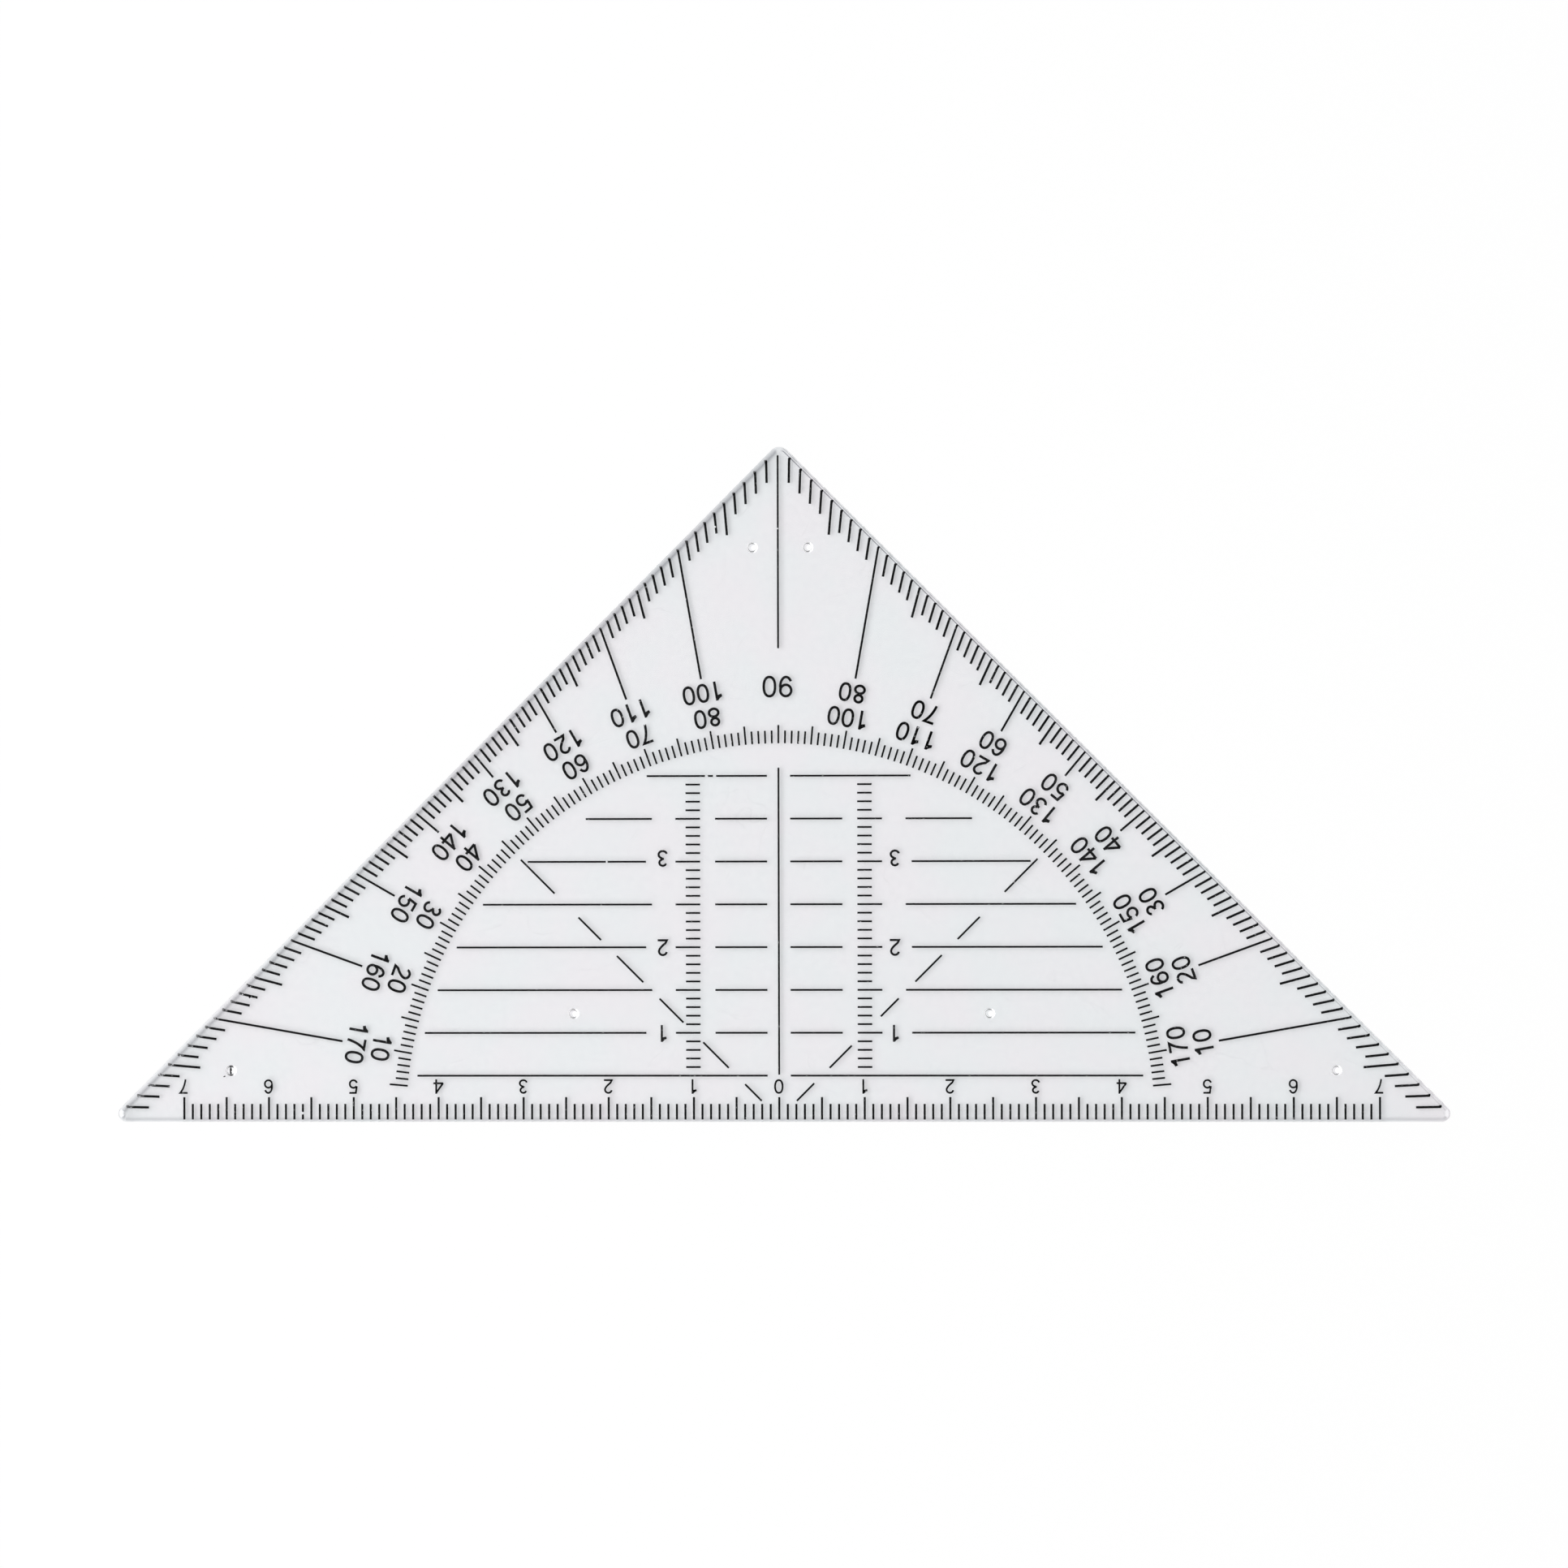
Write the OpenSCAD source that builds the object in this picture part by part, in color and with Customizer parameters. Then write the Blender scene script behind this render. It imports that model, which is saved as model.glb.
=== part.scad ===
// Protractor set square for drafting: a clear moulded plate on six small feet, with one print
// of rulers, degree scales and parallel lines on its underside, between the feet.
// X runs along the ruling edge, Y to the right-angled apex and Z up from the paper.
// The origin is under the middle of the ruling edge, on the surface that the feet stand on.

/* [Plate] */
// Length of the ruling edge between its sharp corners, before they are rounded
edge_length = 158.5; // [140:0.5:240]
// Thickness of the plate, without its feet
plate_thickness = 1.5; // [1:0.1:3]
// Width of the shallow bevel round the top face, seen from above
bevel_width = 0.5; // [0.2:0.05:0.7]
// How far the bevel drops from the top face to the wall
bevel_depth = 0.12; // [0.08:0.02:0.5]
// Radius of the two narrow tips, seen from above
tip_radius = 0.95; // [0.85:0.05:1.3]
// Radius of the right-angled apex, seen from above
apex_radius = 1.3; // [0.85:0.05:1.5]

/* [Feet] */
// Diameter of each domed foot where it leaves the plate
foot_diameter = 1.25; // [1.1:0.05:1.8]
// Height of each foot, which keeps the print off the paper
foot_height = 0.45; // [0.3:0.05:0.5]
// Distance of each apex foot from the middle of the plate
apex_foot_side = 3.25; // [2:0.25:5]
// Distance of the apex feet below the sharp apex
apex_foot_drop = 12.25; // [10:0.25:16]
// Distance of each middle foot from the middle of the plate
middle_foot_side = 24.35; // [18:0.05:29]
// Distance of each tip foot from the sharp corner, along the ruling edge
tip_foot_setback = 14.55; // [12.5:0.05:17.5]
// Distance of each tip foot from the ruling edge
tip_foot_rise = 5.95; // [4.5:0.05:7.5]

/* [Print] */
// Width of the lines of the arc, the parallel lines, the height scales and the centre line
line_width = 0.22; // [0.1:0.01:0.3]
// Width of the ruler's lines and of the ten-degree rays
ruler_line_width = 0.25; // [0.1:0.01:0.3]
// Width of the degree lines along the legs
leg_line_width = 0.28; // [0.1:0.01:0.32]
// Thickness of the printed film
ink_thickness = 0.03; // [0.02:0.005:0.05]
// How far the print lies to the left of the plate's middle
print_shift = 0.25; // [0:0.05:0.3]
// Distance of the protractor's centre from the ruling edge
print_inset = 0.35; // [0.25:0.05:0.5]
// One division of the rulers
division = 1; // [1:0.05:1.25]

/* [Ruler along the ruling edge] */
// Bare strip between the ruling edge and the ruler's lines
edge_gap = 0.35; // [0.1:0.05:0.4]
// Length of a one-division line
edge_short_tick = 1.7; // [1:0.1:2.3]
// Length of a five-division line
edge_long_tick = 2.5; // [2.4:0.1:3.2]
// Least room between the ruler's last line and the sharp corner
corner_room = 9; // [8.5:0.25:14]

/* [Degree scales] */
// Bare strip between the left leg and the outer ends of its degree lines
left_leg_gap = 0.37; // [0.25:0.01:1]
// Bare strip between the right leg and the outer ends of its degree lines
right_leg_gap = 0.52; // [0.25:0.01:1]
// Depth of the one-degree lines along the legs, square to the leg, were the print in the middle
leg_short_tick = 2.05; // [1.5:0.05:2.6]
// Depth of the five-degree lines along the legs, square to the leg, were the print in the middle
leg_long_tick = 3.05; // [2.7:0.05:4]
// Gap between the five-degree lines and the circle where the ten-degree rays end
ray_gap = 0.28; // [0.1:0.02:1]
// Width of the ring that holds the two rows of degree numerals
numeral_ring = 6.15; // [5:0.05:8]
// Length of the one-degree lines of the arc
arc_short_tick = 1.5; // [1:0.1:1.8]
// Length of the five-degree lines of the arc
arc_long_tick = 2.15; // [1.9:0.05:3]
// Length of bare centre line between the rays' circle and the line to the apex
ninety_room = 2.8; // [1:0.1:5]
// Gap between the end of the centre line and the rounded apex
apex_room = 0.95; // [0.5:0.05:3]

/* [Lines inside the arc] */
// Gap between the arc and the ends of the parallel lines
arc_gap = 1; // [0.5:0.1:2]
// Half the gap that the parallel lines leave at the centre line
centre_gap = 1.35; // [0.8:0.05:2]
// How far the centre line runs past the highest parallel line
centre_overrun = 0.95; // [0.5:0.05:1.5]
// Distance from the centre line to the middle of each height scale
column_distance = 10.05; // [9.5:0.05:11]
// Length of a one-division line of the height scales
column_tick = 1.7; // [1.2:0.1:2.2]
// How much longer the five-division lines of the height scales are
column_extra = 1.2; // [0.6:0.1:1.5]
// Gap between a height scale and the parallel lines nearer the centre
column_gap = 1.75; // [1:0.05:2.5]
// Room beside a height scale for its numerals, on the whole rows
numeral_room = 3.45; // [3:0.05:4.5]
// How much less room the half rows leave there
half_row_gain = 0.7; // [0.3:0.05:1]
// Gap between a parallel line and the end of the diagonal
diagonal_gap = 0.55; // [0.3:0.05:1]
// How far the half row above the diagonal stops short of the arc's circle
half_row_trim = 2; // [0.5:0.1:3]
// How far the highest parallel line runs past the circle that bounds the others
top_row_gain = 0.25; // [0:0.05:0.5]

/* [Hidden] */
$fn = 96;

clear_plastic = [0.86, 0.88, 0.9, 0.5];
black_ink = [0.06, 0.06, 0.07];

// Angles in degrees: each leg leans at leg_angle, so the apex is a right angle
leg_angle = 45;
square_angle = 90;
tip_angle = leg_angle / 2;
first_arc_degree = 5;

// Divisions and degrees are counted off in these steps
half_step = 5;
whole_step = 10;

// The plate
half_edge = edge_length / 2;
// The corners' arcs are this much larger than ones that only touch the sides, so they cross them
corner_overlap = 1.005;
// Far side of the cuts at the corners and ends of the bevels, well past the sharp corners
corner_reach = 2 * max(tip_radius, apex_radius) / sin(tip_angle);
cut_overrun = bevel_width / 8;
// How far the bevel's slope rises or falls over that length
slope_overrun = cut_overrun * bevel_depth / bevel_width;
foot_radius = foot_diameter / 2;
dome_radius = (pow(foot_radius, 2) + pow(foot_height, 2)) / (2 * foot_height);

// The print is measured from the protractor's centre
leg_reach = (half_edge - print_inset) * cos(leg_angle) - left_leg_gap;
// The print lies to the left, so the right leg is further from the protractor's centre than the left
right_leg_reach = leg_reach + left_leg_gap - right_leg_gap + print_shift * cos(leg_angle);
left_leg_reach = leg_reach - print_shift * cos(leg_angle);
ray_circle = leg_reach - leg_long_tick - ray_gap;
arc_outer = ray_circle - numeral_ring;
arc_inner = arc_outer - arc_long_tick;
line_circle = arc_inner - arc_gap;
diagonal_end = line_circle * cos(leg_angle);
apex_top = half_edge - print_inset - apex_radius * (1 / (corner_overlap * sin(leg_angle)) - 1);
ruler_bottom = edge_gap - print_inset;
ruler_count = whole_step * floor((half_edge - corner_room) / (whole_step * division));

// The rows of parallel lines
row_pitch = half_step * division;
row_count = floor(line_circle / row_pitch);
column_inner = column_distance - column_tick / 2;
column_outer = column_distance + column_tick / 2 + column_extra;
column_count = row_count * half_step;

// Where the dashes of the diagonals start and end, as shares of the distance between rows
left_dash_shares = [[0.41, 0.8], [1.18, 1.78], [2.24, 2.8], [3.18, 3.8], [4.17, 4.7], [5.26, 6.1]];
right_dash_shares = [[0.41, 0.82], [1.18, 1.7], [2.38, 2.8], [3.19, 3.81], [4.18, 4.7], [5.28, 6.1]];
// Height of the middle feet above the protractor's centre, as a share of the distance between rows
middle_foot_share = 2.45;
middle_foot_rise = print_inset + middle_foot_share * row_pitch;

feet = [
    [apex_foot_side, half_edge - apex_foot_drop],
    [middle_foot_side, middle_foot_rise],
    [half_edge - tip_foot_setback, tip_foot_rise]
];

// Half the length of the row at a height y, within the circle that bounds the rows
function row_reach(y) = sqrt(max(pow(line_circle, 2) - pow(y, 2), 0));
// A row that the diagonal's end would touch stops short of it, and the highest one runs further
function row_end(row, y) =
    y <= diagonal_end && y + row_pitch > diagonal_end ? min(row_reach(y), y - diagonal_gap)
    : y > diagonal_end && row % 2 == 1 ? row_reach(y) - half_row_trim
    : row == row_count ? row_reach(y) + top_row_gain
    : row_reach(y);

// Section that cuts one straight bevel: the edge lies along +Y with the plate on its left
module bevel_section() {
    polygon([
        [-bevel_width - cut_overrun, plate_thickness + slope_overrun],
        [cut_overrun, plate_thickness - bevel_depth - slope_overrun],
        [cut_overrun, plate_thickness + slope_overrun]
    ]);
}

// Cuts the bevel of a whole side that starts at the origin, past both of its sharp corners
module side_bevel(length) {
    translate([0, -corner_reach, 0])
        rotate([square_angle, 0, 0])
            mirror([0, 0, 1])
                linear_extrude(length + 2 * corner_reach)
                    bevel_section();
}

// Rounds a sharp corner at the origin that points along +X, wall and bevel together
module corner_cut(radius, half_angle) {
    translate([-radius / (corner_overlap * sin(half_angle)), 0, 0])
        rotate([0, 0, half_angle - square_angle])
            rotate_extrude(angle = 2 * (square_angle - half_angle))
                polygon([
                    [radius, -cut_overrun],
                    [corner_reach, -cut_overrun],
                    [corner_reach, plate_thickness + slope_overrun],
                    [radius - bevel_width - cut_overrun, plate_thickness + slope_overrun],
                    [radius, plate_thickness - bevel_depth]
                ]);
}

// The dome's sphere lies on its side, so its poles are outside the foot
module dome_foot() {
    intersection() {
        translate([0, 0, dome_radius])
            rotate([square_angle, 0, 0])
                sphere(dome_radius);
        cylinder(r = dome_radius, h = foot_height);
    }
}

// Both copies of what lies on the right and, mirrored, on the left
module both_sides() {
    children();
    mirror([1, 0, 0])
        children();
}

module bevelled_plate() {
    difference() {
        linear_extrude(plate_thickness)
            polygon([[-half_edge, 0], [half_edge, 0], [0, half_edge]]);
        translate([-half_edge, 0, 0])
            rotate([0, 0, -square_angle])
                side_bevel(edge_length);
        translate([0, half_edge, 0])
            rotate([0, 0, square_angle])
                corner_cut(apex_radius, leg_angle);
        both_sides()
            translate([half_edge, 0, 0]) {
                rotate([0, 0, leg_angle])
                    side_bevel(half_edge / cos(leg_angle));
                rotate([0, 0, -tip_angle])
                    corner_cut(tip_radius, tip_angle);
            }
    }
}

module plate() {
    color(clear_plastic) {
        translate([0, 0, foot_height])
            bevelled_plate();
        both_sides()
            for (place = feet)
                translate([place[0], place[1], 0])
                    dome_foot();
    }
}

// The printed film lies on the underside of the plate and is measured from the protractor's centre
module film() {
    color(black_ink)
        translate([-print_shift, print_inset, foot_height - ink_thickness])
            children();
}

module left_film() {
    film()
        mirror([1, 0, 0])
            children();
}

module line_on_ray(degree, near, far, width) {
    rotate([0, 0, degree])
        translate([near, -width / 2, 0])
            cube([far - near, width, ink_thickness]);
}

module level_line(y, start, end) {
    translate([start, y - line_width / 2, 0])
        cube([end - start, line_width, ink_thickness]);
}

module upright_line(x, start, end, width) {
    translate([x - width / 2, start, 0])
        cube([width, end - start, ink_thickness]);
}

module edge_ruler() {
    film()
        for (count = [-ruler_count:ruler_count]) {
            tick = count % half_step == 0 ? edge_long_tick : edge_short_tick;
            upright_line(count * division, ruler_bottom, ruler_bottom + tick, ruler_line_width);
        }
}

module arc_scale() {
    film()
        for (degree = [first_arc_degree:2 * square_angle - first_arc_degree]) {
            tick = degree % half_step == 0 ? arc_long_tick : arc_short_tick;
            line_on_ray(degree, arc_inner, arc_inner + tick, line_width);
        }
}

// Degree lines that lie on rays from the protractor's centre and are cut off parallel to the leg
module leg_scale(outer_reach) {
    for (degree = [1:square_angle - 1])
        if (degree % whole_step != 0) {
            tick = degree % half_step == 0 ? leg_long_tick : leg_short_tick;
            slant = cos(degree - leg_angle);
            line_on_ray(degree, (leg_reach - tick) / slant, outer_reach / slant, leg_line_width);
        }
}

module right_leg_scale() {
    film()
        leg_scale(right_leg_reach);
}

module left_leg_scale() {
    left_film()
        leg_scale(left_leg_reach);
}

// Every tenth degree runs on from the leg to the ring of numerals
module ray_lines(outer_reach) {
    for (degree = [whole_step:whole_step:square_angle - whole_step])
        line_on_ray(degree, ray_circle, outer_reach / cos(degree - leg_angle), ruler_line_width);
}

module right_ray_lines() {
    film()
        ray_lines(right_leg_reach);
}

module left_ray_lines() {
    left_film()
        ray_lines(left_leg_reach);
}

// In two stretches, with room between them for the arc and the numeral of the right angle
module centre_line() {
    film() {
        upright_line(0, row_pitch + line_width / 2, row_count * row_pitch + centre_overrun, line_width);
        upright_line(0, ray_circle + ninety_room, apex_top - apex_room, line_width);
    }
}

// The lowest and highest rows are whole, and the others make room for a height scale
module parallel_lines() {
    for (row = [1:row_count]) {
        y = row * row_pitch;
        reach = row_end(row, y);
        room = row % 2 == 0 ? numeral_room : numeral_room - half_row_gain;
        whole = row == 1 || row == row_count;
        if (whole && reach > centre_gap)
            level_line(y, centre_gap, reach);
        if (!whole) {
            level_line(y, centre_gap, column_inner - column_gap);
            if (reach > column_outer + room)
                level_line(y, column_outer + room, reach);
        }
    }
}

module right_parallel_lines() {
    film()
        parallel_lines();
}

module left_parallel_lines() {
    left_film()
        parallel_lines();
}

// Lines at every division between the lowest row and the highest
module height_scale() {
    for (count = [half_step + 1:column_count - 1]) {
        extra = count % half_step == 0 ? column_extra : 0;
        level_line(count * division, column_inner, column_inner + column_tick + extra);
    }
}

module right_height_scale() {
    film()
        height_scale();
}

module left_height_scale() {
    left_film()
        height_scale();
}

// Dashes on the 45-degree ray, given by how far each end lies from the centre line
module diagonal(dash_shares) {
    for (share = dash_shares) {
        start = share[0] * row_pitch;
        end = min(share[1] * row_pitch, diagonal_end);
        if (end > start)
            line_on_ray(leg_angle, start / cos(leg_angle), end / cos(leg_angle), line_width);
    }
}

module right_diagonal() {
    film()
        diagonal(right_dash_shares);
}

module left_diagonal() {
    left_film()
        diagonal(left_dash_shares);
}

plate();
edge_ruler();
arc_scale();
left_leg_scale();
right_leg_scale();
left_ray_lines();
right_ray_lines();
centre_line();
left_parallel_lines();
right_parallel_lines();
left_height_scale();
right_height_scale();
left_diagonal();
right_diagonal();
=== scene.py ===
# Looks for the clear protractor set square: the camera and studio, the clear plate with its
# feet, the printing ink on its underside and the numerals of the print.
import math

import bmesh
import bpy
from mathutils import Matrix, Vector


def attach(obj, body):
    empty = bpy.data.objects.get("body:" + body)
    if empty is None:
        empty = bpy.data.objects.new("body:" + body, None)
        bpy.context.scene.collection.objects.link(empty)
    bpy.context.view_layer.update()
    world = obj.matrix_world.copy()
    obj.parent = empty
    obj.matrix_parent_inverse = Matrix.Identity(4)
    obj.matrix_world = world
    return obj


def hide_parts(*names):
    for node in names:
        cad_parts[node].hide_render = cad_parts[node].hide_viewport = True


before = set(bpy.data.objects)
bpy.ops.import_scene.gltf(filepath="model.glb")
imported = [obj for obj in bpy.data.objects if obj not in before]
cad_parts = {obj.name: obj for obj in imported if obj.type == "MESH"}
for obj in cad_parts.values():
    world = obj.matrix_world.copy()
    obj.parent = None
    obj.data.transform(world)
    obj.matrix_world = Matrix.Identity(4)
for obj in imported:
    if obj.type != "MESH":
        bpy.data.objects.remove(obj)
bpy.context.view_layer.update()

mm = 0.001
body = "root"
inkNodes = [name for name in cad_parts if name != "plate"]


# camera: almost straight above, a long lens tilted a little towards the right
cameraSetup = {
    "lens": 223.6,
    "sensor": 36.0,
    "place": (89.290, 39.350, 1134.27),     # mm
    "tilt": (0.002, 4.4847, -0.1504),       # degrees, turned about Z first, then X, then Y
    "farthest": 20,
}


def makeCamera(setup):
    data = bpy.data.cameras.new("photoCamera")
    data.lens = setup["lens"]
    data.sensor_width = setup["sensor"]
    data.clip_end = setup["farthest"]
    cam = bpy.data.objects.new("photoCamera", data)
    cam.rotation_mode = "ZXY"
    cam.rotation_euler = [math.radians(a) for a in setup["tilt"]]
    cam.location = Vector(setup["place"]) * mm
    bpy.context.scene.collection.objects.link(cam)
    bpy.context.scene.camera = cam


makeCamera(cameraSetup)
bpy.context.scene.view_settings.view_transform = "Standard"
print("camera set")


# small helpers for node trees
def newMaterial(name):
    mat = bpy.data.materials.new(name)
    mat.use_nodes = True
    mat.node_tree.nodes.clear()
    return mat


def plug(tree, socket, value):
    if isinstance(value, bpy.types.NodeSocket):
        tree.links.new(value, socket)
    else:
        socket.default_value = value


def addNode(tree, kind, inputs=None, **settings):
    node = tree.nodes.new(kind)
    for key, value in settings.items():
        setattr(node, key, value)
    for key, value in (inputs or {}).items():
        plug(tree, node.inputs[key], value)
    return node


def mathNode(tree, operation, a, b=0.0, clamp=False):
    node = addNode(tree, "ShaderNodeMath", operation=operation, use_clamp=clamp)
    plug(tree, node.inputs[0], a)
    plug(tree, node.inputs[1], b)
    return node.outputs[0]


def mapRange(tree, value, low, high, toLow=0.0, toHigh=1.0, smooth=True):
    node = addNode(tree, "ShaderNodeMapRange", {
        "Value": value, "From Min": low, "From Max": high, "To Min": toLow, "To Max": toHigh})
    node.interpolation_type = "SMOOTHSTEP" if smooth else "LINEAR"
    return node.outputs[0]


def vectorNode(tree, operation, a, b=None, scale=None):
    node = addNode(tree, "ShaderNodeVectorMath", operation=operation)
    plug(tree, node.inputs[0], a)
    if b is not None:
        plug(tree, node.inputs[1], b)
    if scale is not None:
        plug(tree, node.inputs["Scale"], scale)
    return node.outputs["Value" if operation in ("LENGTH", "DOT_PRODUCT") else "Vector"]


def mixVector(tree, factor, a, b):
    node = addNode(tree, "ShaderNodeMix", data_type="VECTOR")
    plug(tree, node.inputs[0], factor)
    plug(tree, node.inputs[4], a)
    plug(tree, node.inputs[5], b)
    return node.outputs[1]


def mixValue(tree, factor, a, b):
    node = addNode(tree, "ShaderNodeMix", data_type="FLOAT")
    plug(tree, node.inputs[0], factor)
    plug(tree, node.inputs[2], a)
    plug(tree, node.inputs[3], b)
    return node.outputs[0]


def millimetres(tree):
    place = addNode(tree, "ShaderNodeTexCoord")
    return vectorNode(tree, "SCALE", place.outputs["Object"], scale=1 / mm)


def mixColour(tree, factor, a, b, blend="MIX"):
    node = addNode(tree, "ShaderNodeMix", data_type="RGBA", blend_type=blend)
    plug(tree, node.inputs[0], factor)
    plug(tree, node.inputs[6], a)
    plug(tree, node.inputs[7], b)
    return node.outputs[2]


def newGroup(name, inputs, outputs):
    tree = bpy.data.node_groups.new(name, "ShaderNodeTree")
    for label, kind, value in inputs:
        socket = tree.interface.new_socket(name=label, in_out="INPUT", socket_type=kind)
        if value is not None:
            socket.default_value = value
    for label, kind in outputs:
        tree.interface.new_socket(name=label, in_out="OUTPUT", socket_type=kind)
    return tree, tree.nodes.new("NodeGroupInput"), tree.nodes.new("NodeGroupOutput")


def useGroup(tree, group, inputs=None):
    node = addNode(tree, "ShaderNodeGroup", node_tree=group)
    for key, value in (inputs or {}).items():
        plug(tree, node.inputs[key], value)
    return node


def makeGrainGroup():
    # soft uneven patches between two values
    tree, start, end = newGroup("unevenValue", [
        ("Place", "NodeSocketVector", None), ("Size", "NodeSocketFloat", 1.0),
        ("Low", "NodeSocketFloat", 0.0), ("High", "NodeSocketFloat", 1.0)], [("Value", "NodeSocketFloat")])
    grain = addNode(tree, "ShaderNodeTexNoise", {
        "Vector": start.outputs["Place"], "Scale": mathNode(tree, "DIVIDE", 1.0, start.outputs["Size"]),
        "Detail": 3.0})
    tree.links.new(mapRange(tree, grain.outputs["Fac"], 0.32, 0.68, start.outputs["Low"],
                            start.outputs["High"]), end.inputs["Value"])
    return tree


unevenValue = makeGrainGroup()


# studio: white floor, one long soft lamp from the left and a pale sky that is dark overhead
studio = {
    "floorSize": 4.0,            # metres
    "floorSegments": 8,
    "paperLow": (0.842, 0.842, 0.845, 1),        # the paper's fibres vary between the two
    "paperHigh": (0.878, 0.878, 0.876, 1),
    "fibreSize": 0.7,            # mm
    "floorSeen": 0.93,           # share of plain white where the camera sees the floor itself
    "floorThrough": 0.36,        # and where it is seen through clear plastic
    "skyLight": 0.56,
    "skyOverhead": 0.02,         # what gloss sees straight above, where the camera hangs
    "overheadFrom": (0.55, 0.92),      # height of the look upwards over which the sky grows dark
    "straightDepth": 3.5,        # bounces, of what is seen through the underside and the top alone
    "keyPlace": (-0.60, 0.02, 0.70),
    "keyAim": (0.0, 0.03, 0.0),
    "keySize": (1.8, 0.75),
    "keyPower": 11.3,            # watts
}


def makeFloor(setup):
    mesh = bpy.data.meshes.new("floor")
    bm = bmesh.new()
    bmesh.ops.create_grid(bm, x_segments=setup["floorSegments"], y_segments=setup["floorSegments"],
                          size=setup["floorSize"] / 2)
    bm.to_mesh(mesh)
    bm.free()
    floor = bpy.data.objects.new("floor", mesh)
    bpy.context.scene.collection.objects.link(floor)
    mat = newMaterial("whitePaper")
    tree = mat.node_tree
    fibres = useGroup(tree, unevenValue, {"Place": millimetres(tree), "Size": setup["fibreSize"]})
    colour = mixColour(tree, fibres.outputs["Value"], setup["paperLow"], setup["paperHigh"])
    paper = addNode(tree, "ShaderNodeBsdfDiffuse", {"Color": colour})
    shown = addNode(tree, "ShaderNodeEmission", {"Color": (1, 1, 1, 1), "Strength": 1.0})
    path = tree.nodes.new("ShaderNodeLightPath")
    direct = mathNode(tree, "MULTIPLY", path.outputs["Is Camera Ray"], setup["floorSeen"])
    through = mathNode(tree, "MULTIPLY", path.outputs["Is Transmission Ray"], setup["floorThrough"])
    gloss = mathNode(tree, "MULTIPLY", path.outputs["Is Glossy Ray"],
                     mathNode(tree, "SUBTRACT", 1.0, path.outputs["Is Transmission Ray"]))
    share = mathNode(tree, "MAXIMUM", mathNode(tree, "MAXIMUM", direct, through), gloss)
    lit = addNode(tree, "ShaderNodeMixShader", {0: share, 1: paper.outputs[0], 2: shown.outputs[0]})
    # from below the paper is see-through, so that the print side can be looked at too
    clear = addNode(tree, "ShaderNodeBsdfTransparent", {"Color": (1, 1, 1, 1)})
    side = tree.nodes.new("ShaderNodeNewGeometry")
    both = addNode(tree, "ShaderNodeMixShader", {
        0: side.outputs["Backfacing"], 1: lit.outputs[0], 2: clear.outputs[0]})
    out = tree.nodes.new("ShaderNodeOutputMaterial")
    tree.links.new(both.outputs[0], out.inputs["Surface"])
    mesh.materials.append(mat)


def makeSky(setup):
    world = bpy.data.worlds.new("studioSky")
    bpy.context.scene.world = world
    world.use_nodes = True
    tree = world.node_tree
    tree.nodes.clear()
    place = addNode(tree, "ShaderNodeTexCoord")
    height = addNode(tree, "ShaderNodeSeparateXYZ", {0: place.outputs["Generated"]})
    overhead = mapRange(tree, height.outputs["Z"], *setup["overheadFrom"], 1.0, setup["skyOverhead"])
    path = tree.nodes.new("ShaderNodeLightPath")
    light = addNode(tree, "ShaderNodeBackground", {"Color": (1, 1, 1, 1), "Strength": setup["skyLight"]})
    seen = mathNode(tree, "MAXIMUM", path.outputs["Is Camera Ray"], path.outputs["Is Transmission Ray"])
    seen = mathNode(tree, "MAXIMUM", seen, path.outputs["Is Glossy Ray"])
    # what is seen straight through the plate from below stays white
    straight = mathNode(tree, "MULTIPLY", path.outputs["Is Transmission Ray"],
                        mathNode(tree, "LESS_THAN", path.outputs["Ray Depth"], setup["straightDepth"]))
    mirrored = mathNode(tree, "MULTIPLY", path.outputs["Is Glossy Ray"],
                        mathNode(tree, "SUBTRACT", 1.0, straight))
    dim = mathNode(tree, "MULTIPLY", mirrored, mathNode(tree, "SUBTRACT", 1.0, overhead))
    white = addNode(tree, "ShaderNodeBackground", {
        "Color": (1, 1, 1, 1), "Strength": mathNode(tree, "SUBTRACT", 1.0, dim)})
    both = addNode(tree, "ShaderNodeMixShader", {0: seen, 1: light.outputs[0], 2: white.outputs[0]})
    out = tree.nodes.new("ShaderNodeOutputWorld")
    tree.links.new(both.outputs[0], out.inputs["Surface"])


def makeKeyLamp(setup):
    data = bpy.data.lights.new("keyLamp", "AREA")
    data.shape = "RECTANGLE"
    data.size, data.size_y = setup["keySize"]
    data.energy = setup["keyPower"]
    lamp = bpy.data.objects.new("keyLamp", data)
    lamp.location = setup["keyPlace"]
    aim = Vector(setup["keyAim"]) - lamp.location
    lamp.rotation_euler = aim.to_track_quat("-Z", "Y").to_euler()
    bpy.context.scene.collection.objects.link(lamp)


makeFloor(studio)
makeSky(studio)
makeKeyLamp(studio)
print("studio set")


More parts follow.
